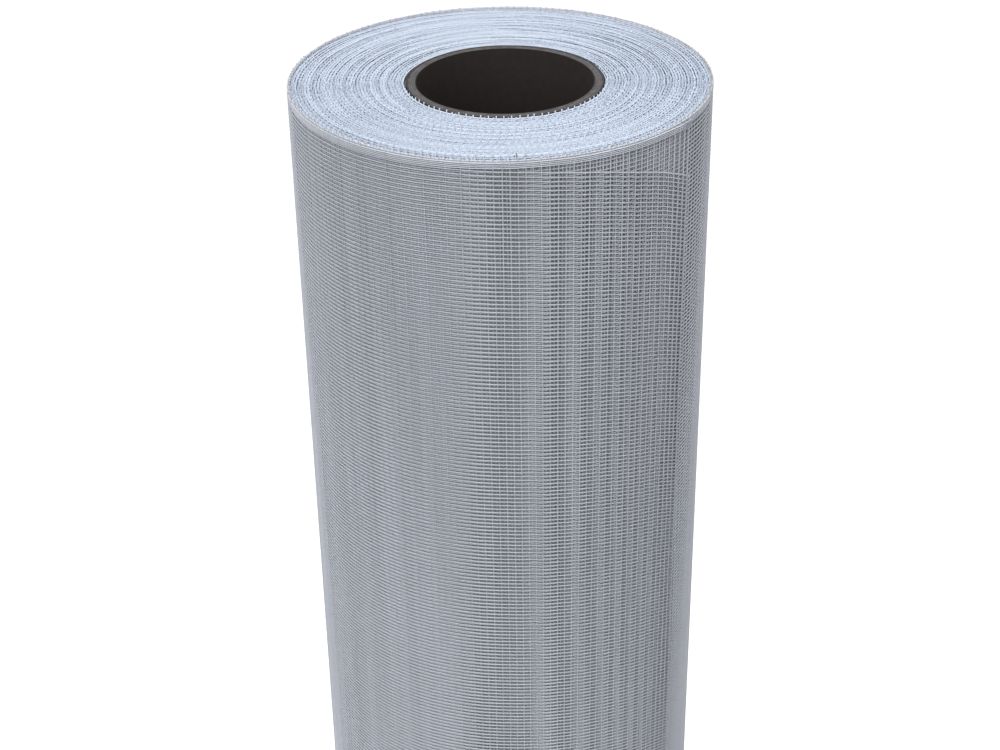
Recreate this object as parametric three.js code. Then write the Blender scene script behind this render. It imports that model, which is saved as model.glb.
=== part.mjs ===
// Roll of fiberglass insect screen, standing on its end.
// Millimetres, +Z up. The origin is the centre of the foot: the roll's axis is Z and z = 0 is its lower end.
import * as THREE from "three";

// Driving dimensions

const rollDiameter = 91;
const screenWidth = 610;
const coreBoreDiameter = 38.1;
const coreWall = 2.2;
const coreRecess = 1;
const coreClearance = 0.3;
const rimChamfer = 0.25;
const roundSegments = 64;

// The wound turns as the two ends show them: ledges of uneven height with narrow grooves between them.
const ledgeCount = 8;
const deepLedge = 0.5;
const shallowLedge = 0.25;
const grooveWidth = 0.4;
const grooveDepth = 1.2;
const edgeRounding = 0.6;

// Colours and finish of the two pieces

const finishes = {
  core: { color: 0x6b625c, roughness: 0.92, metalness: 0 },
  screen: { color: 0x9da2ab, roughness: 0.62, metalness: 0 },
};

// The solid turned from a closed outline of [radius, height] points, listed anticlockwise with +Z up.
function turned(name, outline, finish) {
  const closed = [...outline, outline[0]];
  const profile = closed.map(([radius, height]) => new THREE.Vector2(radius, height));
  const geometry = new THREE.LatheGeometry(profile, roundSegments);
  geometry.rotateX(Math.PI / 2);
  const mesh = new THREE.Mesh(geometry, new THREE.MeshStandardMaterial(finish));
  mesh.name = name;
  return mesh;
}

// The cardboard tube that the screen is wound on, with its cut rims eased. Its ends lie a little inside the screen's.
function core() {
  const bore = coreBoreDiameter / 2;
  const outside = bore + coreWall;
  const foot = coreRecess;
  const head = screenWidth - coreRecess;
  const outline = [
    [bore, foot + rimChamfer],
    [bore + rimChamfer, foot],
    [outside - rimChamfer, foot],
    [outside, foot + rimChamfer],
    [outside, head - rimChamfer],
    [outside - rimChamfer, head],
    [bore + rimChamfer, head],
    [bore, head - rimChamfer],
  ];
  return turned("cardboard_core", outline, finishes.core);
}

// How deep a ledge lies below the end of the roll: every other one is level with it.
function ledgeSink(index) {
  if (index % 2 === 0) {
    return 0;
  }
  return index % 4 === 1 ? deepLedge : shallowLedge;
}

// One end of the roll as [radius, depth] points from the outside in, with a groove between each two ledges.
function woundEnd(inside, outside) {
  const pitch = (outside - inside) / ledgeCount;
  const points = [];
  for (let i = 0; i < ledgeCount; i += 1) {
    const outer = outside - i * pitch;
    const inner = outer - pitch;
    const first = i === 0;
    const last = i === ledgeCount - 1;
    const depth = ledgeSink(i);
    points.push([outer - (first ? edgeRounding : grooveWidth / 2), depth]);
    points.push([inner + (last ? 0 : grooveWidth / 2), depth]);
    if (!last) {
      points.push([inner, grooveDepth]);
    }
  }
  return points;
}

// The wound sheet as one turned solid, with its bore around the tube and its turns on both ends.
function screen() {
  const inside = coreBoreDiameter / 2 + coreWall + coreClearance;
  const outside = rollDiameter / 2;
  const end = woundEnd(inside, outside);
  const bottom = [...end].reverse();
  const top = end.map(([radius, depth]) => [radius, screenWidth - depth]);
  const outline = [
    ...bottom,
    [outside, edgeRounding],
    [outside, screenWidth - edgeRounding],
    ...top,
  ];
  return turned("screen_roll", outline, finishes.screen);
}

const roll = new THREE.Group();
roll.add(core(), screen());

export default roll;
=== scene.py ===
import math

import bpy
from bpy.props import FloatProperty, FloatVectorProperty, IntProperty, PointerProperty
from bpy.types import Operator, Panel, PropertyGroup
from mathutils import Matrix, Vector


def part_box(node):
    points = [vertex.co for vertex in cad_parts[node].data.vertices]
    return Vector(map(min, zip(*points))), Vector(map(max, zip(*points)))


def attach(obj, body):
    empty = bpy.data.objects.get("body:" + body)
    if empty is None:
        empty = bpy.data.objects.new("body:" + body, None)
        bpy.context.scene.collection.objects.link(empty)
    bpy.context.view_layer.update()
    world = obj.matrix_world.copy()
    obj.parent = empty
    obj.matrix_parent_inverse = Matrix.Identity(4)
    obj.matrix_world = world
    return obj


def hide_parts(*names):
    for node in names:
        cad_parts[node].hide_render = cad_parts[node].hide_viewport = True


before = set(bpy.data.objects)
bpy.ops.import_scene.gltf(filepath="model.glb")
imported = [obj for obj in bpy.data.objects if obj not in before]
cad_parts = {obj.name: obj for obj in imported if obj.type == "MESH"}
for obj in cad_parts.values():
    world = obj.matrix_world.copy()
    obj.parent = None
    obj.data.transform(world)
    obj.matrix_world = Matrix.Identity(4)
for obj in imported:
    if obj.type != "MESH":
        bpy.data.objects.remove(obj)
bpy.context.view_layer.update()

bl_info = {
    "name": "Insect Screen Roll",
    "version": (1, 0, 0),
    "blender": (4, 5, 0),
    "location": "View3D > Sidebar > Screen Roll",
    "description": "Weaves and winds a roll of fiberglass insect screen on its cardboard tube",
    "category": "Add Mesh",
}

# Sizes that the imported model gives, in metres
ROLL_LOW, ROLL_HIGH = (Vector(corner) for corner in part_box("screen_roll"))
TUBE_LOW, TUBE_HIGH = (Vector(corner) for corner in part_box("cardboard_core"))
ROLL_RADIUS = (ROLL_HIGH.x - ROLL_LOW.x) / 2
ROLL_HEIGHT = ROLL_HIGH.z
TUBE_RADIUS = (TUBE_HIGH.x - TUBE_LOW.x) / 2

BAKE_MAP = "OFBake"
MOST_CUTS = 100
YARN_SIDES = 3
ROUND_STEPS = 160
WEFT_PIECES = 16
LAST_YARN_PIECES = 4900

# The outer turns that are woven over their whole height
SHOWN_TURNS = 2


class ScreenRollSizes(PropertyGroup):
    """How the sheet is woven and wound."""

    weft_pitch: FloatProperty(
        name="Weft pitch", description="Between the upright yarns", default=0.0015875, unit="LENGTH"
    )
    warp_pitch: FloatProperty(
        name="Warp pitch", description="Between the yarns that run round", default=0.000937, unit="LENGTH"
    )
    selvedge_pitch: FloatProperty(
        name="Selvedge pitch", description="Between the close yarns at each edge",
        default=0.00036, unit="LENGTH"
    )
    selvedge_rows: IntProperty(name="Selvedge rows", description="Close yarns at each edge", default=4)
    edge_margin: FloatProperty(
        name="Edge margin", description="Sheet's lower edge above the floor",
        default=0.0004, unit="LENGTH"
    )
    tip_length: FloatProperty(
        name="Tip length", description="Cut weft past the last yarn", default=0.0007, unit="LENGTH"
    )
    yarn_width: FloatProperty(
        name="Yarn width", description="Across one coated yarn", default=0.00034, unit="LENGTH"
    )
    weft_width: FloatProperty(
        name="Weft width", description="Across one upright yarn", default=0.00026, unit="LENGTH"
    )
    sheet_length: FloatProperty(
        name="Sheet length", description="The whole wound sheet", default=15.24, unit="LENGTH"
    )
    weft_depth: FloatProperty(
        name="Weft depth", description="Upright yarns lie this far inside the others",
        default=0.00012, unit="LENGTH"
    )
    wander: FloatProperty(
        name="Weft wander", description="How far upright yarns stray sideways",
        default=0.0008, unit="LENGTH"
    )
    wander_rate: FloatProperty(
        name="Wander rate", description="Strays to a metre along the sheet", default=90
    )
    wander_rate_up: FloatProperty(
        name="Wander rate up", description="Strays to a metre up the sheet", default=5
    )
    creep: FloatProperty(
        name="Turn creep", description="How far a turn climbs and sinks", default=0.000175, unit="LENGTH"
    )
    creep_phase: FloatProperty(
        name="Creep phase", description="Where the outer two turns' rows fall in line",
        default=math.radians(252), unit="ROTATION"
    )
    ripple: FloatProperty(
        name="Ripple", description="How far the rows wave up and down", default=0.0002, unit="LENGTH"
    )
    ripple_rate: FloatProperty(
        name="Ripple rate", description="Waves to a metre along the sheet", default=110
    )
    ripple_rate_up: FloatProperty(
        name="Ripple rate up", description="Waves to a metre up the sheet", default=6
    )
    fray: FloatProperty(
        name="Fray", description="How far cut tips stray", default=0.00028, unit="LENGTH"
    )
    askew: FloatProperty(
        name="Askew cut", description="Share of the tips that is cut away at the back", default=0.8
    )
    step_down: FloatProperty(
        name="Step down", description="Inner turns lie this far below the outer two",
        default=0.0006, unit="LENGTH"
    )
    uneven: FloatProperty(
        name="Uneven turns", description="How far inner turns stray from level",
        default=0.0009, unit="LENGTH"
    )
    uneven_rate: FloatProperty(name="Uneven rate", description="Strays from level to a turn", default=0.2)
    slack: FloatProperty(
        name="Slack turns", description="How far single turns sink between the others",
        default=0.0006, unit="LENGTH"
    )
    slack_rate: FloatProperty(
        name="Slack rate", description="Chances of a sunk turn to a turn", default=0.8
    )
    off_centre: FloatVectorProperty(
        name="Off centre", description="How far the tube lies off the roll's axis", size=2,
        default=(0.0010, -0.0008), subtype="TRANSLATION"
    )
    tail_angle: FloatProperty(
        name="Tail angle", description="Where the sheet's outer edge lies",
        default=math.radians(327), unit="ROTATION"
    )
    tail_sag: FloatProperty(
        name="Tail sag", description="How far rows have slipped down at the outer edge",
        default=0.0109, unit="LENGTH"
    )
    tail_reach: FloatProperty(
        name="Tail reach", description="How much of the outer turn has slipped rows",
        default=0.068, unit="LENGTH"
    )
    tail_lift: FloatProperty(
        name="Tail lift", description="How far the outer edge stands off the roll",
        default=0.0005, unit="LENGTH"
    )
    lifted_length: FloatProperty(
        name="Lifted length", description="How much of the sheet stands off there",
        default=0.008, unit="LENGTH"
    )
    segments: IntProperty(name="Segments", description="Steps of one turn of yarn", default=72)
    bands: IntProperty(name="Bands", description="Pieces that the warp is split into", default=4)


class ScreenRollFinish(PropertyGroup):
    """Colours of the yarn and the board."""

    yarn: FloatVectorProperty(
        name="Yarn", description="Coated yarn", subtype="COLOR", default=(0.47, 0.49, 0.54), min=0, max=1
    )
    cut: FloatVectorProperty(
        name="Cut ends", description="Cut ends of the yarn", subtype="COLOR",
        default=(0.56, 0.625, 0.73), min=0, max=1
    )
    # A little darker than the yarn: painted shade of the turns lying under the outer two
    deep: FloatVectorProperty(
        name="Deep turns", description="Turns under the outer two", subtype="COLOR",
        default=(0.42, 0.44, 0.48), min=0, max=1
    )
    board: FloatVectorProperty(
        name="Board", description="Cut rim of the tube", subtype="COLOR",
        default=(0.088, 0.084, 0.084), min=0, max=1
    )
    # Much darker than the board: the board's own dark tone with painted shade of the deep bore
    bore: FloatVectorProperty(
        name="Bore", description="Inside of the tube", subtype="COLOR",
        default=(0.021, 0.017, 0.016), min=0, max=1
    )


class ScreenRollStage(PropertyGroup):
    """Floor, lights and camera."""

    floor: FloatVectorProperty(
        name="Floor", description="Floor colour", subtype="COLOR",
        default=(0.97, 0.97, 0.97), min=0, max=1
    )
    top_power: FloatProperty(name="Top light", description="Watts overhead", default=40.0, unit="POWER")
    front_power: FloatProperty(
        name="Front light", description="Watts in front", default=15.0, unit="POWER"
    )
    top_size: FloatProperty(
        name="Top size", description="Across the top light", default=3.2, unit="LENGTH"
    )
    top_place: FloatVectorProperty(
        name="Top place", description="From the roll's top", default=(0, 0.1, 1.7), subtype="TRANSLATION"
    )
    front_size: FloatProperty(
        name="Front size", description="Across the front light", default=1.2, unit="LENGTH"
    )
    front_place: FloatVectorProperty(
        name="Front place", description="From the roll's top",
        default=(-0.7, -1.6, 0.7), subtype="TRANSLATION"
    )
    glow: FloatProperty(name="Glow", description="Strength of the floor's own light", default=0.07)
    sky: FloatProperty(name="Sky", description="Strength of the sky's light", default=0.76)
    sky_fade: FloatProperty(
        name="Sky fade", description="How much weaker the sky is at the sides", default=0.4
    )
    lens: FloatProperty(name="Lens", description="Focal length in millimetres", default=68.8)
    distance: FloatProperty(
        name="Distance", description="Camera to roll axis, in roll radii", default=8.5003
    )
    rise: FloatProperty(
        name="Rise", description="Camera above the roll's top, in roll radii", default=3.2524
    )
    pitch: FloatProperty(name="Pitch", description="Camera looks down", default=0.5216, unit="ROTATION")
    yaw: FloatProperty(name="Yaw", description="Camera turns right", default=-0.0028, unit="ROTATION")
    tilt: FloatProperty(name="Tilt", description="Camera rolls", default=-0.0158, unit="ROTATION")


def sizes():
    return bpy.context.scene.screen_roll_sizes


def finish():
    return bpy.context.scene.screen_roll_finish


def stage():
    return bpy.context.scene.screen_roll_stage


# Node building


def add(tree, kind, inputs=None, **settings):
    """A new node with its settings, and its inputs linked or set."""
    node = tree.nodes.new(kind)
    for key, value in settings.items():
        setattr(node, key, value)
    for key, value in (inputs or {}).items():
        if isinstance(value, bpy.types.NodeSocket):
            tree.links.new(value, node.inputs[key])
        else:
            node.inputs[key].default_value = value
    return node


def maths(tree, operation, *values):
    return add(tree, "ShaderNodeMath", dict(enumerate(values)), operation=operation).outputs[0]


def plus(tree, first, second):
    return maths(tree, "ADD", first, second)


def minus(tree, first, second):
    return maths(tree, "SUBTRACT", first, second)


def times(tree, first, second):
    return maths(tree, "MULTIPLY", first, second)


def scaled(tree, first, scale):
    """A vector or colour, times a number."""
    return add(tree, "ShaderNodeVectorMath", {0: first, "Scale": scale}, operation="SCALE").outputs[0]


def separate(tree, place):
    return add(tree, "ShaderNodeSeparateXYZ", {0: place}).outputs


def object_place(tree):
    return add(tree, "ShaderNodeTexCoord").outputs["Object"]


def vector(tree, x, y, z):
    return add(tree, "ShaderNodeCombineXYZ", {"X": x, "Y": y, "Z": z}).outputs[0]


def mix(tree, factor, first, second):
    """A colour between two: the first at factor 0, the second at 1."""
    node = add(tree, "ShaderNodeMix", {"Factor": factor}, data_type="RGBA")
    for socket, value in ((node.inputs[6], first), (node.inputs[7], second)):
        if isinstance(value, bpy.types.NodeSocket):
            tree.links.new(value, socket)
        else:
            socket.default_value = value
    return node.outputs[2]


def ramp(tree, value, low, high, to_low=0.0, to_high=1.0):
    """value moved from low..high to to_low..to_high, and held there."""
    inputs = {"Value": value, 1: low, 2: high, 3: to_low, 4: to_high}
    return add(tree, "ShaderNodeMapRange", inputs).outputs[0]


def opaque(colour):
    return (*colour, 1.0)


def new_group(name, kind, inputs, outputs):
    """A node group with named sockets: its tree, its inputs' sockets and its output node."""
    tree = bpy.data.node_groups.new(name, kind)
    for label, socket, value in inputs:
        made = tree.interface.new_socket(name=label, in_out="INPUT", socket_type=socket)
        if value is not None:
            made.default_value = value
    for label, socket in outputs:
        tree.interface.new_socket(name=label, in_out="OUTPUT", socket_type=socket)
    given = tree.nodes.new("NodeGroupInput").outputs
    return tree, given, tree.nodes.new("NodeGroupOutput")


def close_group(tree, end, results):
    for label, socket in results.items():
        tree.links.new(socket, end.inputs[label])


def noise(tree, place, scale, detail=2.0):
    """Noise from -0.5 to 0.5."""
    node = add(tree, "ShaderNodeTexNoise", {"Vector": place, "Scale": scale, "Detail": detail})
    return minus(tree, node.outputs[0], 0.5)


# Winding


def winding_group():
    """Winds a flat net on the roll: x is the way along the sheet, y the way out, z the height."""
    name = "Wind on the roll"
    if name in bpy.data.node_groups:
        return bpy.data.node_groups[name]
    s = sizes()
    number = "NodeSocketFloat"
    tree, given, end = new_group(
        name,
        "GeometryNodeTree",
        [
            ("Geometry", "NodeSocketGeometry", None),
            ("Outer Radius", number, outer_radius()),
            ("Turn Thickness", number, turn_thickness()),
            ("Tail Angle", number, s.tail_angle),
            ("Tail Sag", number, s.tail_sag),
            ("Tail Reach", number, s.tail_reach),
            ("Tail Lift", number, s.tail_lift),
            ("Wander", number, s.wander),
            ("Creep", number, s.creep),
            ("Ripple", number, s.ripple),
            ("Step Down", number, s.step_down),
            ("Uneven", number, s.uneven),
            ("Slack", number, s.slack),
            ("Fray", number, s.fray),
            ("Askew Cut", number, s.askew),
        ],
        [("Geometry", "NodeSocketGeometry")],
    )
    place = add(tree, "GeometryNodeInputPosition").outputs[0]
    x, y, z = separate(tree, place)

    stray = smooth_noise(tree, x, z, s.wander_rate, s.wander_rate_up, 0.0)
    along = plus(tree, x, times(tree, stray, given["Wander"]))

    # Each cut tip leans its own way
    tip = maths(tree, "FLOOR", maths(tree, "DIVIDE", x, s.weft_pitch))
    apart = maths(tree, "ABSOLUTE", minus(tree, z, ROLL_HEIGHT / 2))
    reach = sheet_edges()[1] - ROLL_HEIGHT / 2
    past = ramp(tree, apart, reach - s.tip_length, reach)
    amount = times(tree, past, given["Fray"])
    draw = add(tree, "ShaderNodeTexWhiteNoise", {"Vector": vector(tree, tip, 3.0, 7.0)}).outputs["Color"]
    leans = [times(tree, minus(tree, part, 0.5), amount) for part in separate(tree, draw)]
    along = plus(tree, along, leans[0])

    outer = given["Outer Radius"]
    wound = times(tree, along, maths(tree, "DIVIDE", given["Turn Thickness"], math.pi))
    radius = maths(tree, "SQRT", minus(tree, times(tree, outer, outer), wound))
    turned = maths(tree, "DIVIDE", minus(tree, outer, radius), given["Turn Thickness"])
    angle = minus(tree, given["Tail Angle"], times(tree, turned, 2 * math.pi))
    loose = times(tree, ramp(tree, x, 0.0, s.lifted_length, 1.0, 0.0), given["Tail Lift"])
    away = plus(tree, plus(tree, radius, y), plus(tree, leans[1], loose))

    # In the outer turn's loose end the rows between the selvedges have slipped down, most at its edge
    share = ramp(tree, x, 0.0, given["Tail Reach"], 1.0, 0.0)
    hang = times(tree, maths(tree, "POWER", share, 3.0), given["Tail Sag"])
    foot, pitch, rows = row_plan()
    split = foot + (rows - 1) * pitch + s.selvedge_pitch / 2
    margin = 0.00001
    slips = ramp(tree, z, split - margin, split + margin, 1.0, 0.0)
    full_slip = ROLL_HEIGHT * 0.9
    sag = times(tree, times(tree, hang, slips), ramp(tree, z, 0.0, full_slip))

    # The outer two turns climb and sink against each other, so their rows come in and out of line
    beat = maths(tree, "SINE", plus(tree, times(tree, turned, math.pi), s.creep_phase))
    climb = times(tree, beat, given["Creep"])
    wave = smooth_noise(tree, x, z, s.ripple_rate, s.ripple_rate_up, 9.0)
    climb = plus(tree, climb, times(tree, wave, given["Ripple"]))

    # The inner turns lie lower, at uneven depths, and some single turns sink between the others
    inner = ramp(tree, turned, SHOWN_TURNS, SHOWN_TURNS + 0.5)
    broad = times(tree, turn_noise(tree, turned, s.uneven_rate, 0.0, 2.0), given["Uneven"])
    lone = turn_noise(tree, turned, s.slack_rate, 5.0, 1.0)
    sunk = times(tree, ramp(tree, lone, 0.10, 0.20), given["Slack"])
    depth = plus(tree, plus(tree, given["Step Down"], broad), sunk)
    inward = maths(tree, "SIGN", minus(tree, ROLL_HEIGHT / 2, z))

    # The sheet is cut askew: the tips get shorter toward the back
    behind = ramp(tree, maths(tree, "SINE", angle), -0.3, 0.5)
    trim = times(tree, times(tree, past, s.tip_length), given["Askew Cut"])
    lower = plus(tree, times(tree, depth, inner), times(tree, trim, behind))
    level = times(tree, lower, inward)
    hung = minus(tree, plus(tree, z, leans[2]), sag)
    height = plus(tree, hung, plus(tree, climb, level))

    # The turns come off centre toward the tube
    innermost = (outer_radius() - TUBE_RADIUS) / turn_thickness()
    aside = scaled(tree, vector(tree, *s.off_centre, 0.0), ramp(tree, turned, SHOWN_TURNS, innermost))
    round_axis = vector(
        tree,
        times(tree, away, maths(tree, "COSINE", angle)),
        times(tree, away, maths(tree, "SINE", angle)),
        height,
    )
    moved = add(tree, "ShaderNodeVectorMath", {0: round_axis, 1: aside}, operation="ADD").outputs[0]
    laid = add(tree, "GeometryNodeSetPosition", {"Geometry": given["Geometry"], "Position": moved})
    close_group(tree, end, {"Geometry": laid.outputs[0]})
    return tree


def smooth_noise(tree, x, z, rate, rate_up, seed):
    """Smooth noise over the sheet, which changes at one rate along it and at another up it."""
    return noise(tree, vector(tree, times(tree, x, rate), times(tree, z, rate_up), seed), 1.0, detail=0.0)


def turn_noise(tree, turned, rate, seed, detail):
    """Noise that changes from turn to turn and is the same all round one."""
    return noise(tree, vector(tree, times(tree, turned, rate), seed, 0.0), 1.0, detail=detail)


def sheet_edges():
    """Heights of the sheet's lower and upper edge."""
    return sizes().edge_margin, ROLL_HEIGHT


def row_plan():
    """Where the evenly spaced warp rows start, their pitch and their number."""
    s = sizes()
    low, high = sheet_edges()
    edge = s.tip_length + s.selvedge_rows * s.selvedge_pitch
    field = high - low - 2 * edge
    rows = round(field / s.warp_pitch) + 1
    return low + edge, field / (rows - 1), rows


def outer_radius():
    """The radius at the sheet's outer edge: a little more than the roll's, because the turns spiral."""
    return ROLL_RADIUS + sizes().yarn_width / 4


def turn_thickness():
    """What one turn adds, from the sheet's length and the ring that it fills."""
    outer = outer_radius()
    inner = TUBE_RADIUS + sizes().yarn_width
    return math.pi * (outer**2 - inner**2) / sizes().sheet_length


# Modelling


def only(obj):
    bpy.ops.object.select_all(action="DESELECT")
    obj.select_set(True)
    bpy.context.view_layer.objects.active = obj


def settle(obj, name, materials):
    """Names a finished piece, applies its place, gives it its materials and lets it ride on the roll."""
    only(obj)
    bpy.ops.object.transform_apply(location=True, rotation=True, scale=True)
    obj.name = name
    obj.data.name = name
    for material in materials:
        obj.data.materials.append(material)
    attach(obj, "root")
    return obj


def yarn(length, width, pieces, upright=False):
    """A closed straight yarn from the origin along X, or up Z, cut into that many pieces."""
    bpy.ops.object.select_all(action="DESELECT")
    turn = (0, 0, -math.pi / 2) if upright else (0, math.pi / 2, 0)
    middle = (0, 0, length / 2) if upright else (length / 2, 0, 0)
    bpy.ops.mesh.primitive_cylinder_add(
        vertices=YARN_SIDES, radius=width / 2 / math.cos(math.pi / YARN_SIDES / 2), depth=length,
        location=middle, rotation=turn,
    )
    obj = bpy.context.object
    bpy.ops.object.transform_apply(location=True, rotation=True, scale=True)
    axis = 2 if upright else 0
    for cuts in cut_plan(pieces):
        bpy.ops.object.mode_set(mode="EDIT")
        bpy.ops.mesh.select_all(action="DESELECT")
        bpy.ops.mesh.select_mode(type="EDGE")
        bpy.ops.object.mode_set(mode="OBJECT")
        for edge in obj.data.edges:
            first, last = (obj.data.vertices[i].co for i in edge.vertices)
            span = last - first
            edge.select = abs(span[axis]) > 0.9 * span.length
        bpy.ops.object.mode_set(mode="EDIT")
        bpy.ops.mesh.subdivide(number_cuts=cuts)
        bpy.ops.object.mode_set(mode="OBJECT")
    return obj


def cut_plan(pieces):
    """Numbers of cuts that, one after another, split an edge into at least that many pieces."""
    if pieces < 2:
        return []
    if pieces <= MOST_CUTS:
        return [pieces - 1]
    rounds = math.ceil(math.log(pieces, MOST_CUTS))
    each = math.ceil(pieces ** (1 / rounds))
    return [each - 1] * rounds


def lay_map(obj, upright, copies):
    """The bake's map of one yarn: its length fills one way, its sides share one copy's strip."""
    mesh = obj.data
    while mesh.uv_layers:
        mesh.uv_layers.remove(mesh.uv_layers[0])
    layer = mesh.uv_layers.new(name=BAKE_MAP)
    axis = 2 if upright else 0
    across = [i for i in range(3) if i != axis]
    length = max(v.co[axis] for v in mesh.vertices)
    turn = 2 * math.pi / YARN_SIDES
    start = math.atan2(mesh.vertices[0].co[across[1]], mesh.vertices[0].co[across[0]])
    for face in mesh.polygons:
        normal = math.atan2(face.normal[across[1]], face.normal[across[0]]) - start
        side = math.floor((normal % (2 * math.pi)) / turn)
        for loop in face.loop_indices:
            spot = mesh.vertices[mesh.loops[loop].vertex_index].co
            way = (math.atan2(spot[across[1]], spot[across[0]]) - start) % (2 * math.pi)
            corner = round(way / turn) % YARN_SIDES
            strip = (side + (corner != side)) / YARN_SIDES / copies
            along = spot[axis] / length
            layer.data[loop].uv = (strip, along) if upright else (along, strip)


def repeat(obj, count, step, upright_map=False):
    """Copies in a row, each with its own strip of the bake's map."""
    only(obj)
    array = obj.modifiers.new("Repeat", "ARRAY")
    array.use_relative_offset = False
    array.use_constant_offset = True
    array.constant_offset_displace = step
    array.count = count
    if upright_map:
        array.offset_u = 1 / count
    else:
        array.offset_v = 1 / count
    bpy.ops.object.modifier_apply(modifier=array.name)


def wind(obj):
    only(obj)
    bpy.ops.object.shade_smooth()
    modifier = obj.modifiers.new("Wind", "NODES")
    modifier.node_group = winding_group()
    bpy.ops.object.modifier_apply(modifier=modifier.name)


def move(obj, offset):
    only(obj)
    bpy.ops.object.mode_set(mode="EDIT")
    bpy.ops.mesh.select_all(action="SELECT")
    bpy.ops.transform.translate(value=offset)
    bpy.ops.object.mode_set(mode="OBJECT")


# Materials

# How often each tone changes in a metre
STREAK_RATES = (260, 260, 9)
# The streaks of the painted shade in the deep turns' gaps
GAP_SHADE_STREAK_RATES = (300, 300, 7)
PATCH_RATE = 22.0
YARN_SPECK_RATE = 2400.0
END_SPECK_RATE = 2600.0
FIBRE_RATE = 700.0

# How often the ends' painted ring shading changes in a turn: its darker and lighter bands and its thin
# dark lines
RING_SHADE_RATE = 0.3
SUNK_LINE_SHADE_RATE = 0.8

# Shares of the yarn's colour: the upright yarns' darker share is painted shade, the selvedge's lighter
# share painted light, and the deep turns' gap share painted shade
UPRIGHT_SHADE = 0.82
SELVEDGE_LIGHT = 1.15
GAP_SHADE = 0.38

# Dark specks on the upper end: where they lie, and how large they are
END_SPECKS = (
    (0.0027, -0.0420, 0.0005),
    (0.0050, -0.0420, 0.0003),
)


def yarn_group():
    """Uneven tone of coated yarn: long upright streaks, patches and fine specks."""
    name = "Yarn tone"
    if name in bpy.data.node_groups:
        return bpy.data.node_groups[name]
    number, colour = "NodeSocketFloat", "NodeSocketColor"
    tree, given, end = new_group(
        name,
        "ShaderNodeTree",
        [
            ("Colour", colour, (0.5, 0.5, 0.5, 1)),
            ("Streaks", number, 0.2),
            ("Patches", number, 0.1),
            ("Specks", number, 0.2),
            ("Roughness", number, 0.5),
        ],
        [("Colour", colour), ("Roughness", number)],
    )
    place = object_place(tree)
    drawn = add(tree, "ShaderNodeMapping", {"Vector": place, "Scale": STREAK_RATES}).outputs[0]
    streaks = times(tree, noise(tree, drawn, 1.0), given["Streaks"])
    patches = times(tree, noise(tree, place, PATCH_RATE), given["Patches"])
    specks = times(tree, noise(tree, place, YARN_SPECK_RATE), given["Specks"])
    tone = plus(tree, plus(tree, streaks, patches), specks)
    bright = plus(tree, tone, 1.0)
    tinted = scaled(tree, given["Colour"], bright)
    rough = plus(tree, given["Roughness"], times(tree, specks, 0.6))
    close_group(tree, end, {"Colour": tinted, "Roughness": rough})
    return tree


def new_material(name):
    material = bpy.data.materials.new(name)
    material.use_nodes = True
    tree = material.node_tree
    return material, tree, tree.nodes["Principled BSDF"]


def yarn_tone(tree, shader, colour):
    """The yarn's tone in this colour, with its roughness linked to the shader."""
    tone = tree.nodes.new("ShaderNodeGroup")
    tone.node_tree = yarn_group()
    tone.inputs["Colour"].default_value = opaque(colour)
    tree.links.new(tone.outputs["Roughness"], shader.inputs["Roughness"])
    return tone


def yarn_material(name, brightness, streaks):
    """Coated yarn, this much brighter or darker than the plain colour: a lighter copy is painted light, a
    darker copy painted shade.
    """
    if name in bpy.data.materials:
        return bpy.data.materials[name]
    material, tree, shader = new_material(name)
    tone = yarn_tone(tree, shader, [part * brightness for part in finish().yarn])
    tone.inputs["Streaks"].default_value = streaks
    tone.inputs["Roughness"].default_value = 0.6
    tree.links.new(tone.outputs["Colour"], shader.inputs["Base Color"])
    shader.inputs["Specular IOR Level"].default_value = 0.2
    return material


def side_yarn():
    return yarn_material("Coated yarn", 1.0, 0.22)


def upright_yarn():
    # A darker copy of the yarn: painted shade where the upright yarns lie under the rows
    return yarn_material("Upright yarn", UPRIGHT_SHADE, 0.22)


def selvedge_yarn():
    # A lighter copy of the yarn: painted light on the close selvedge rows
    return yarn_material("Selvedge yarn", SELVEDGE_LIGHT, 0.15)


def end_material():
    """Cut ends of the inner turns, with painted shade and light in rings: bands of turns, wound tighter
    and looser, painted darker and lighter as if lying lower and higher, and a few thin dark ones painted
    as the shade of single sunk turns.
    """
    name = "Cut yarn ends"
    if name in bpy.data.materials:
        return bpy.data.materials[name]
    material, tree, shader = new_material(name)
    place = object_place(tree)
    x, y, z = separate(tree, place)
    radius = radius_of(tree, x, y)
    share = ramp(tree, radius, ROLL_RADIUS, TUBE_RADIUS)
    aside = [times(tree, share, part) for part in sizes().off_centre]
    centred = radius_of(tree, minus(tree, x, aside[0]), minus(tree, y, aside[1]))
    turns = maths(tree, "DIVIDE", centred, turn_thickness())
    # Painted shade and light: bands darker and lighter for turns lying lower and higher, thin lines darker
    # for single sunk turns
    bands = noise(tree, vector(tree, times(tree, turns, RING_SHADE_RATE), 0.0, 2.0), 1.0, detail=1.0)
    thin = noise(tree, vector(tree, times(tree, turns, SUNK_LINE_SHADE_RATE), 0.0, 4.0), 1.0, detail=0.0)
    lines = ramp(tree, thin, 0.06, 0.2, 1.0, 0.8)
    grain = noise(tree, place, END_SPECK_RATE)
    tone = plus(tree, plus(tree, times(tree, bands, 0.8), 1.0), times(tree, grain, 0.2))
    bright = times(tree, tone, lines)
    for across, along, size in END_SPECKS:
        apart = radius_of(tree, minus(tree, x, across), minus(tree, y, along))
        speck = ramp(tree, apart, size / 2, size, 0.85, 0.0)
        bright = minus(tree, bright, times(tree, speck, ramp(tree, z, 0.0, ROLL_HEIGHT)))
    tree.links.new(scaled(tree, finish().cut, bright), shader.inputs["Base Color"])
    shader.inputs["Roughness"].default_value = 0.65
    shader.inputs["Specular IOR Level"].default_value = 0.3
    return material


def radius_of(tree, x, y):
    return maths(tree, "SQRT", plus(tree, times(tree, x, x), times(tree, y, y)))


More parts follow.
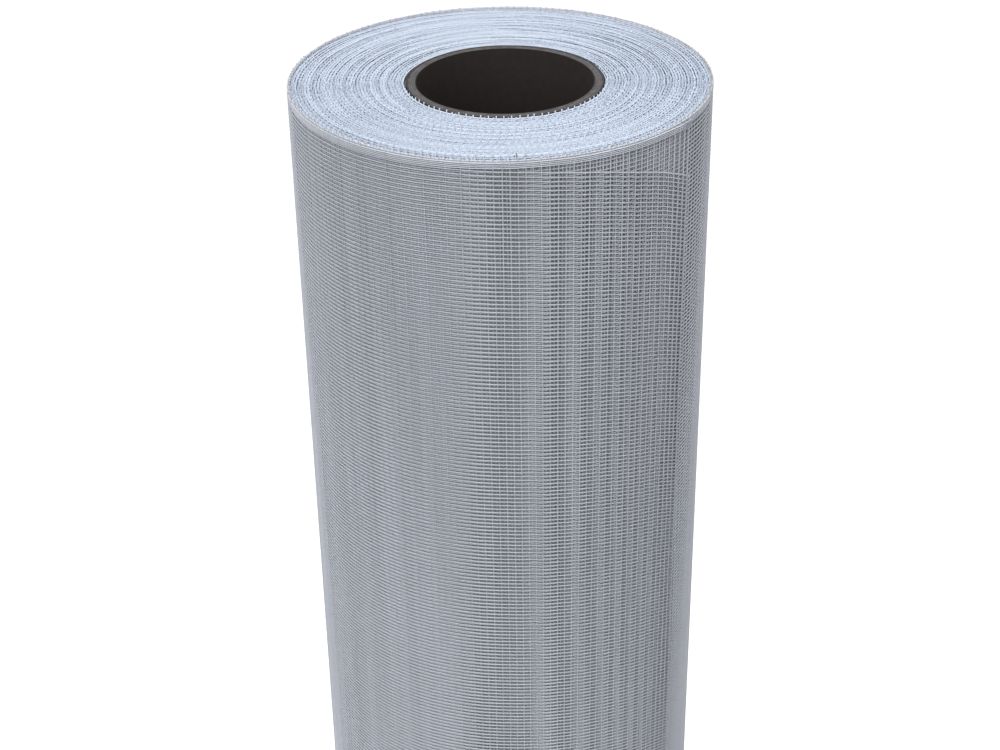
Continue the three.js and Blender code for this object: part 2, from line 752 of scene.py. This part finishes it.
def deep_material():
    """The turns under the outer two: rows of yarn with dark gaps of painted shade between them, painted
    where they show through.
    """
    name = "Deep turns"
    if name in bpy.data.materials:
        return bpy.data.materials[name]
    material, tree, shader = new_material(name)
    tone = yarn_tone(tree, shader, finish().deep)
    place = object_place(tree)
    x, y, z = separate(tree, place)
    foot, pitch, _ = row_plan()
    angle = maths(tree, "ARCTAN2", y, x)
    drift = times(tree, maths(tree, "SINE", times(tree, angle, 2.0)), pitch / 8)
    row = maths(tree, "PINGPONG", minus(tree, plus(tree, z, drift), foot), pitch / 2)
    # Painted shade: the gaps between the rows are darkened, in long streaks, for the shade deep between
    # the turns
    gap = ramp(tree, row, pitch * 0.2, pitch * 0.3)
    around = add(tree, "ShaderNodeMapping", {"Vector": place, "Scale": GAP_SHADE_STREAK_RATES}).outputs[0]
    streak = ramp(tree, noise(tree, around, 1.0, detail=1.0), -0.15, 0.15, 0.6, 0.9)
    dark = opaque([part * GAP_SHADE for part in finish().deep])

    # The painted shade in the gaps is fainter on the left and at the right edge
    left = ramp(tree, x, -0.006, 0.014, 0.4, 1.0)
    right = ramp(tree, x, 0.029, 0.034, 1.0, 0.5)
    strength = times(tree, times(tree, gap, streak), times(tree, left, right))
    tree.links.new(mix(tree, strength, tone.outputs["Colour"], dark), shader.inputs["Base Color"])
    return material


def board_material():
    """Wound grey-brown board: plies at the cut rim with painted shadow on its outer band, fibres, and a
    dark bore, partly painted shade, with its spiral seam.
    """
    name = "Tube board"
    if name in bpy.data.materials:
        return bpy.data.materials[name]
    material, tree, shader = new_material(name)
    place = object_place(tree)
    x, y, z = separate(tree, place)
    aside = sizes().off_centre
    x, y = minus(tree, x, aside[0]), minus(tree, y, aside[1])
    radius = radius_of(tree, x, y)
    inner = TUBE_RADIUS - tube_wall()
    on_rim = ramp(tree, radius, inner + 0.0001, inner + 0.0004)

    # Plies of the cut rim, with painted shadow on the outer band where the screen stands above the tube's
    # rim
    half_ply = 0.0002
    lines = ramp(tree, maths(tree, "PINGPONG", radius, half_ply), 0.0, half_ply, 0.75, 1.15)
    outer_band_shadow = ramp(tree, radius, TUBE_RADIUS - tube_wall() * 0.3, TUBE_RADIUS - tube_wall() * 0.1, 1.1, 0.45)
    fibres = noise(tree, place, FIBRE_RATE, detail=4.0)
    fibrous = plus(tree, times(tree, fibres, 1.3), 1.0)
    bright = times(tree, times(tree, lines, outer_band_shadow), fibrous)
    rim = scaled(tree, finish().board, bright)

    # The seam climbs by twice this height in each turn
    half_lead = 0.0377
    seam_width = 0.0006
    climb = plus(tree, z, times(tree, maths(tree, "ARCTAN2", y, x), 0.012))
    seam = ramp(tree, maths(tree, "PINGPONG", climb, half_lead), 0.0, seam_width, 0.5, 1.0)
    shade = times(tree, seam, plus(tree, times(tree, fibres, 0.5), 1.0))
    # The bore's colour is partly painted shade of the deep hole
    wall = scaled(tree, finish().bore, shade)
    tree.links.new(mix(tree, on_rim, wall, rim), shader.inputs["Base Color"])
    bump = add(tree, "ShaderNodeBump", {"Height": fibres, "Distance": 0.0002, "Strength": 0.6})
    tree.links.new(bump.outputs[0], shader.inputs["Normal"])
    shader.inputs["Roughness"].default_value = 0.9
    shader.inputs["Specular IOR Level"].default_value = 0.2
    return material


def tube_wall():
    """The tube's wall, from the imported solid's nearest corner to the axis."""
    inner = min(Vector(v.co[:2]).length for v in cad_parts["cardboard_core"].data.vertices)
    return TUBE_RADIUS - inner


# Turned pieces


def start_ring(radius, height):
    """A circle round the axis, in Edit Mode with everything selected."""
    bpy.ops.object.select_all(action="DESELECT")
    bpy.ops.mesh.primitive_circle_add(vertices=ROUND_STEPS, radius=radius, location=(0, 0, height))
    bpy.ops.object.transform_apply(location=True, rotation=True, scale=True)
    bpy.ops.object.mode_set(mode="EDIT")
    bpy.ops.mesh.select_all(action="SELECT")
    return bpy.context.object


def close_ring():
    """Joins the last loop to the first, and leaves Edit Mode with sharp rims."""
    bpy.ops.mesh.select_all(action="DESELECT")
    bpy.ops.mesh.select_non_manifold()
    bpy.ops.mesh.bridge_edge_loops()
    bpy.ops.mesh.select_all(action="SELECT")
    bpy.ops.mesh.normals_make_consistent(inside=False)
    bpy.ops.object.mode_set(mode="OBJECT")
    bpy.ops.object.shade_smooth_by_angle(angle=math.radians(30))


# Operators


class SCREENROLL_OT_core(Operator):
    """Models the cardboard tube with its cut rims"""

    bl_idname = "screenroll.core"
    bl_label = "Cardboard tube"

    def execute(self, context):
        wall = tube_wall()
        inner = TUBE_RADIUS - wall
        plies = 5
        ease = 0.00012
        obj = start_ring(TUBE_RADIUS, TUBE_LOW.z)
        radius, height = TUBE_RADIUS, TUBE_LOW.z
        rim = TUBE_HIGH.z
        route = [(TUBE_RADIUS, TUBE_LOW.z + ease), (TUBE_RADIUS, rim - ease)]
        for ply in range(plies):
            outside = TUBE_RADIUS - wall * ply / plies
            inside = TUBE_RADIUS - wall * (ply + 1) / plies
            drop = ease * (ply % 2)
            route += [(outside - ease / 2, rim - drop), (inside + ease / 2, rim - drop)]
        route += [(inner, rim - ease), (inner, TUBE_LOW.z + ease), (inner + ease, TUBE_LOW.z)]
        for next_radius, next_height in route:
            bpy.ops.mesh.extrude_edges_move(TRANSFORM_OT_translate={"value": (0, 0, next_height - height)})
            scale = next_radius / radius
            bpy.ops.transform.resize(value=(scale, scale, 1), center_override=(0, 0, next_height))
            radius, height = next_radius, next_height
        close_ring()
        move(obj, (*sizes().off_centre, 0))
        settle(obj, "core_tube", [board_material()])
        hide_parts("cardboard_core")
        return {"FINISHED"}


class SCREENROLL_OT_packed(Operator):
    """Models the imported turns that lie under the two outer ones"""

    bl_idname = "screenroll.packed"
    bl_label = "Packed turns"

    def execute(self, context):
        thick = turn_thickness()
        outer = ROLL_RADIUS - 2.6 * thick
        inner = TUBE_RADIUS + thick / 2
        sunk = 0.0026
        top = ROLL_HEIGHT - sunk
        obj = start_ring(outer, sunk)
        bpy.ops.mesh.extrude_edges_move(TRANSFORM_OT_translate={"value": (0, 0, top - sunk)})
        bpy.ops.mesh.extrude_edges_move()
        scale = inner / outer
        bpy.ops.transform.resize(value=(scale, scale, 1), center_override=(0, 0, top))
        bpy.ops.transform.translate(value=(*sizes().off_centre, 0))
        bpy.ops.mesh.extrude_edges_move(TRANSFORM_OT_translate={"value": (0, 0, sunk - top)})
        close_ring()
        settle(obj, "packed_turns", [deep_material()])
        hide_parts("screen_roll")
        return {"FINISHED"}


def shown_length():
    """How much sheet the outer two turns hold, in whole weft pitches."""
    thick = turn_thickness()
    outer = outer_radius()
    length = math.pi * (outer**2 - (outer - SHOWN_TURNS * thick) ** 2) / thick
    return round(length / sizes().weft_pitch) * sizes().weft_pitch


class SCREENROLL_OT_warp(Operator):
    """Weaves the yarns that run round the roll, in bands from the floor up"""

    bl_idname = "screenroll.warp"
    bl_label = "Warp yarns"

    def execute(self, context):
        s = sizes()
        foot, pitch, rows = row_plan()
        each = math.ceil(rows / s.bands)
        made = 0
        for band in range(s.bands):
            count = min(each, rows - made)
            obj = yarn(shown_length(), s.yarn_width, SHOWN_TURNS * s.segments)
            lay_map(obj, False, count)
            repeat(obj, count, (0, 0, pitch))
            move(obj, (0, 0, foot + made * pitch))
            wind(obj)
            settle(obj, f"screen_warp_{band + 1}", [side_yarn()])
            made += count
        return {"FINISHED"}


class SCREENROLL_OT_selvedge(Operator):
    """Weaves the close rows of yarn at the sheet's two edges"""

    bl_idname = "screenroll.selvedge"
    bl_label = "Selvedges"

    def execute(self, context):
        s = sizes()
        reach = (s.selvedge_rows - 1) * s.selvedge_pitch
        low, high = sheet_edges()
        for name, foot in (("lower", low + s.tip_length), ("upper", high - s.tip_length - reach)):
            obj = yarn(shown_length(), s.yarn_width, SHOWN_TURNS * s.segments)
            lay_map(obj, False, s.selvedge_rows)
            repeat(obj, s.selvedge_rows, (0, 0, s.selvedge_pitch))
            move(obj, (0, 0, foot))
            wind(obj)
            settle(obj, f"selvedge_{name}", [selvedge_yarn()])
        return {"FINISHED"}


class SCREENROLL_OT_weft(Operator):
    """Weaves the upright yarns of the two outer turns"""

    bl_idname = "screenroll.weft"
    bl_label = "Weft yarns"

    def execute(self, context):
        s = sizes()
        count = round(shown_length() / s.weft_pitch)
        low, high = sheet_edges()
        obj = yarn(high - low, s.weft_width, WEFT_PIECES, upright=True)
        lay_map(obj, True, count)
        repeat(obj, count, (s.weft_pitch, 0, 0), upright_map=True)
        move(obj, (s.weft_pitch / 2, -s.weft_depth, low))
        wind(obj)
        settle(obj, "screen_weft", [upright_yarn()])
        return {"FINISHED"}


class SCREENROLL_OT_ends(Operator):
    """Models the cut weft tips and the last yarn of every turn on both ends"""

    bl_idname = "screenroll.ends"
    bl_label = "Wound ends"

    def execute(self, context):
        s = sizes()
        start = shown_length()
        length = s.sheet_length - start
        count = math.floor(length / s.weft_pitch)
        root = 0.0010
        low, high = sheet_edges()
        last = high - s.tip_length
        for name, foot, row in (("upper", last - root, last), ("lower", low, low + s.tip_length)):
            tips = yarn(s.tip_length + root, s.weft_width, 1, upright=True)
            lay_map(tips, True, count)
            repeat(tips, count, (s.weft_pitch, 0, 0), upright_map=True)
            move(tips, (start + s.weft_pitch / 2, 0, foot))
            wind(tips)
            settle(tips, f"cut_tips_{name}", [end_material()])
            edge = yarn(length, s.yarn_width, LAST_YARN_PIECES)
            lay_map(edge, False, 1)
            move(edge, (start, 0, row))
            wind(edge)
            settle(edge, f"last_yarn_{name}", [end_material()])
        return {"FINISHED"}


class SCREENROLL_OT_stage(Operator):
    """Sets the pale floor, the soft lights and the camera"""

    bl_idname = "screenroll.stage"
    bl_label = "Stage"

    def execute(self, context):
        t = stage()
        scene = context.scene
        bpy.ops.object.select_all(action="DESELECT")
        bpy.ops.mesh.primitive_plane_add(size=14)
        floor = context.object
        floor.name = "floor"
        material, tree, shader = new_material("Pale floor")
        shader.inputs["Base Color"].default_value = opaque(t.floor)
        shader.inputs["Roughness"].default_value = 0.9
        shader.inputs["Emission Color"].default_value = opaque(t.floor)
        shader.inputs["Emission Strength"].default_value = t.glow
        floor.data.materials.append(material)

        scene.world = bpy.data.worlds.new("Soft sky")
        scene.world.use_nodes = True
        sky = scene.world.node_tree.nodes["Background"]
        sky.inputs["Color"].default_value = (1, 1, 1, 1)
        tree = scene.world.node_tree
        way = separate(tree, add(tree, "ShaderNodeTexCoord").outputs["Generated"])[0]
        beside = times(tree, times(tree, way, way), t.sky_fade)
        tree.links.new(times(tree, minus(tree, 1.0, beside), t.sky), sky.inputs["Strength"])

        top = Vector((0, 0, ROLL_HEIGHT))
        lamp("overhead_light", t.top_power, t.top_size, top + Vector(t.top_place), top)
        lamp("front_light", t.front_power, t.front_size, top + Vector(t.front_place), top)

        seat = Vector((0, -t.distance * ROLL_RADIUS, ROLL_HEIGHT + t.rise * ROLL_RADIUS))
        bpy.ops.object.camera_add()
        camera = context.object
        camera.name = "photo_camera"
        camera.data.lens = t.lens
        camera.data.sensor_width = 36
        camera.data.clip_start = 0.01
        turned = Matrix.Rotation(-t.yaw, 4, "Z") @ Matrix.Rotation(math.pi / 2 - t.pitch, 4, "X")
        camera.matrix_world = Matrix.Translation(seat) @ turned @ Matrix.Rotation(t.tilt, 4, "Z")
        scene.camera = camera
        scene.view_settings.view_transform = "Standard"
        return {"FINISHED"}


def lamp(name, power, size, place, aim):
    """A soft round light that faces the aim."""
    bpy.ops.object.light_add(type="AREA", location=place)
    light = bpy.context.object
    light.name = name
    light.data.shape = "DISK"
    light.data.size = size
    light.data.energy = power
    light.rotation_euler = (place - aim).to_track_quat("Z", "Y").to_euler()


STEPS = (
    SCREENROLL_OT_core,
    SCREENROLL_OT_packed,
    SCREENROLL_OT_warp,
    SCREENROLL_OT_selvedge,
    SCREENROLL_OT_weft,
    SCREENROLL_OT_ends,
    SCREENROLL_OT_stage,
)


class SCREENROLL_PT_build(Panel):
    """Lists the steps that build the roll, with their sizes and colours."""

    bl_idname = "SCREENROLL_PT_build"
    bl_label = "Insect Screen Roll"
    bl_space_type = "VIEW_3D"
    bl_region_type = "UI"
    bl_category = "Screen Roll"

    def draw(self, context):
        for step in STEPS:
            self.layout.operator(step.bl_idname)
        for group in (sizes(), finish(), stage()):
            box = self.layout.box()
            for name in group.bl_rna.properties.keys():
                if name not in ("rna_type", "name"):
                    box.prop(group, name)


GROUPS = {
    "screen_roll_sizes": ScreenRollSizes,
    "screen_roll_finish": ScreenRollFinish,
    "screen_roll_stage": ScreenRollStage,
}


def register():
    for cls in (*GROUPS.values(), *STEPS, SCREENROLL_PT_build):
        bpy.utils.register_class(cls)
    for name, group in GROUPS.items():
        setattr(bpy.types.Scene, name, PointerProperty(type=group))


def unregister():
    for name in GROUPS:
        delattr(bpy.types.Scene, name)
    for cls in reversed((*GROUPS.values(), *STEPS, SCREENROLL_PT_build)):
        bpy.utils.unregister_class(cls)


def main():
    register()
    bpy.ops.screenroll.core()
    bpy.ops.screenroll.packed()
    bpy.ops.screenroll.warp()
    bpy.ops.screenroll.selvedge()
    bpy.ops.screenroll.weft()
    bpy.ops.screenroll.ends()
    bpy.ops.screenroll.stage()


if __name__ == "__main__":
    main()
